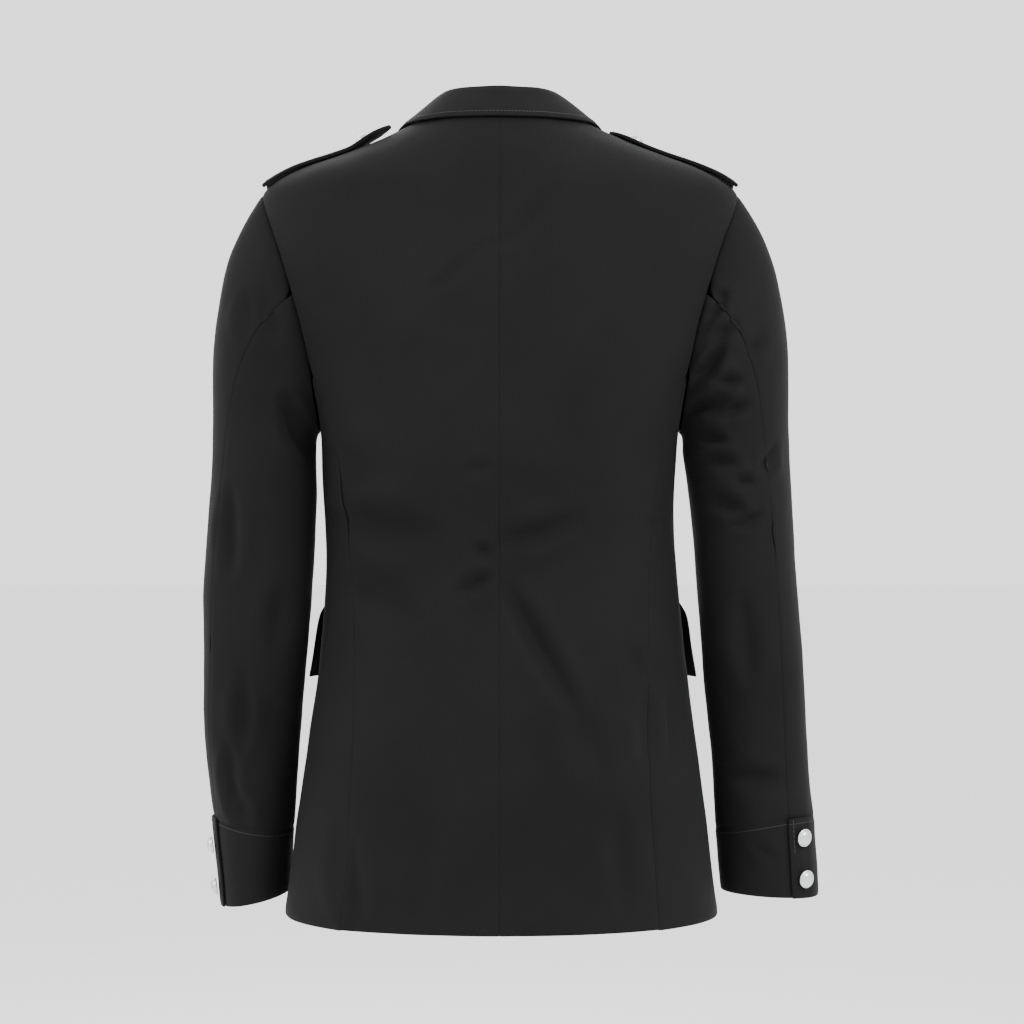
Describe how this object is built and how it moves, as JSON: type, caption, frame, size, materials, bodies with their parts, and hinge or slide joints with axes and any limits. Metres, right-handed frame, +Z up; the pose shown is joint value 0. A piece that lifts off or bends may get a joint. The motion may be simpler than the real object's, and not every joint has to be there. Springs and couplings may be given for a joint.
{
  "type": "officer coat",
  "caption": "Black tailored officer coat with turned-down collar, shoulder straps, bellows pockets and lapped button cuffs, filled out as worn.",
  "frame": {"origin": "the middle of the neck, level with the collar seam, where the wearer's shoulders carry the coat", "axes": "+Z up, the coat's front faces -Y and its back +Y, the wearer's left is +X"},
  "size_m": [0.5586, 0.2474, 0.7314],
  "materials": {
    "black_twill": "matte",
    "silver_button": "satin"
  },
  "bodies": {
    "root": {"back_left": "black_twill", "side_left": "black_twill", "front_left": "black_twill", "lapel_left": "black_twill", "top_sleeve_left": "black_twill", "under_sleeve_left": "black_twill", "cuff_left": "black_twill", "shoulder_strap_left": "black_twill", "pocket_bag_left": "black_twill", "pocket_flap_left": "black_twill", "back_right": "black_twill", "side_right": "black_twill", "front_right": "black_twill", "lapel_right": "black_twill", "top_sleeve_right": "black_twill", "under_sleeve_right": "black_twill", "cuff_right": "black_twill", "shoulder_strap_right": "black_twill", "pocket_bag_right": "black_twill", "pocket_flap_right": "black_twill", "collar_stand": "black_twill", "collar_fall": "black_twill", "strap_button_left": "silver_button", "cuff_button_left_1": "silver_button", "cuff_button_left_2": "silver_button", "strap_button_right": "silver_button", "cuff_button_right_1": "silver_button", "cuff_button_right_2": "silver_button", "front_button_1": "silver_button", "front_button_2": "silver_button", "front_button_3": "silver_button", "front_button_4": "silver_button"}
  },
  "joints": []
}
